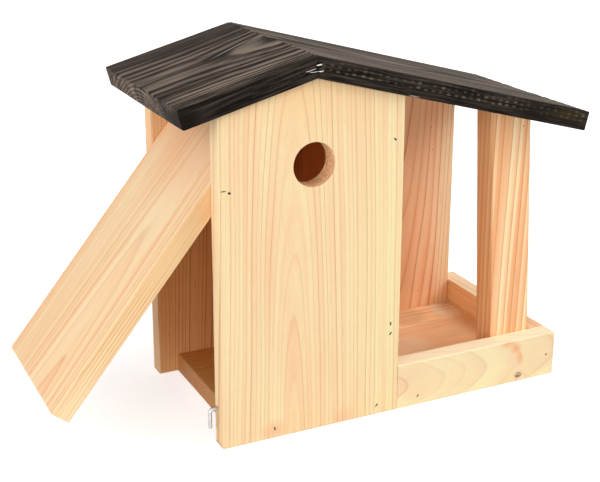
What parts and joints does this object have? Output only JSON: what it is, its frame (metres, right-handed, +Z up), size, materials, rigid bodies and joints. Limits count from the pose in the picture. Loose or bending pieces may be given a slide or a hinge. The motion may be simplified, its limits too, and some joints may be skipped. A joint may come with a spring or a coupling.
{
  "type": "nest box feeder",
  "caption": "Wooden nest box with a round entrance hole, a side wall that swings out for cleaning, and a roofed feeding tray beside it under the same pitched roof.",
  "frame": {"origin": "middle of the underside, on the surface that the box stands on", "axes": "+X along the box from the nest to the feeding tray, +Y from the front to the back wall, +Z up"},
  "size_m": [0.4188, 0.155, 0.2783],
  "materials": {
    "pine": "planed, untreated",
    "stained_pine": "rough, dark stained",
    "nail_steel": "bright wire",
    "zinc_steel": "zinc plated"
  },
  "bodies": {
    "box": {"front_panel": "pine", "nest_back_board": "pine", "feeder_back_board": "pine", "partition_wall": "pine", "floor_board_front": "pine", "floor_board_rear": "pine", "tray_front_rail": "pine", "tray_side_rail": "pine", "corner_post": "pine", "short_roof_board": "stained_pine", "long_roof_board": "stained_pine", "door_pivot_nail_front": "nail_steel", "door_pivot_nail_rear": "nail_steel", "front_panel_nails": "nail_steel", "nest_back_nails": "nail_steel", "feeder_back_nails": "nail_steel", "front_rail_nails": "nail_steel", "side_rail_nails": "nail_steel", "short_roof_nails": "nail_steel", "long_roof_nails": "nail_steel"},
    "door": {"side_door": "pine"},
    "hook": {"latch_hook": "zinc_steel"}
  },
  "joints": [
    {"name": "door_swing", "type": "hinge", "parent": "box", "child": "door", "pos_m": [-0.136, 0, 0.19], "axis": [0, 1, 0], "range_deg": [-39, 91]},
    {"name": "latch_turn", "type": "hinge", "parent": "box", "child": "hook", "pos_m": [-0.1435, -0.065, 0.0285], "axis": [1, 0, 0], "range_deg": [-90, 90]}
  ]
}
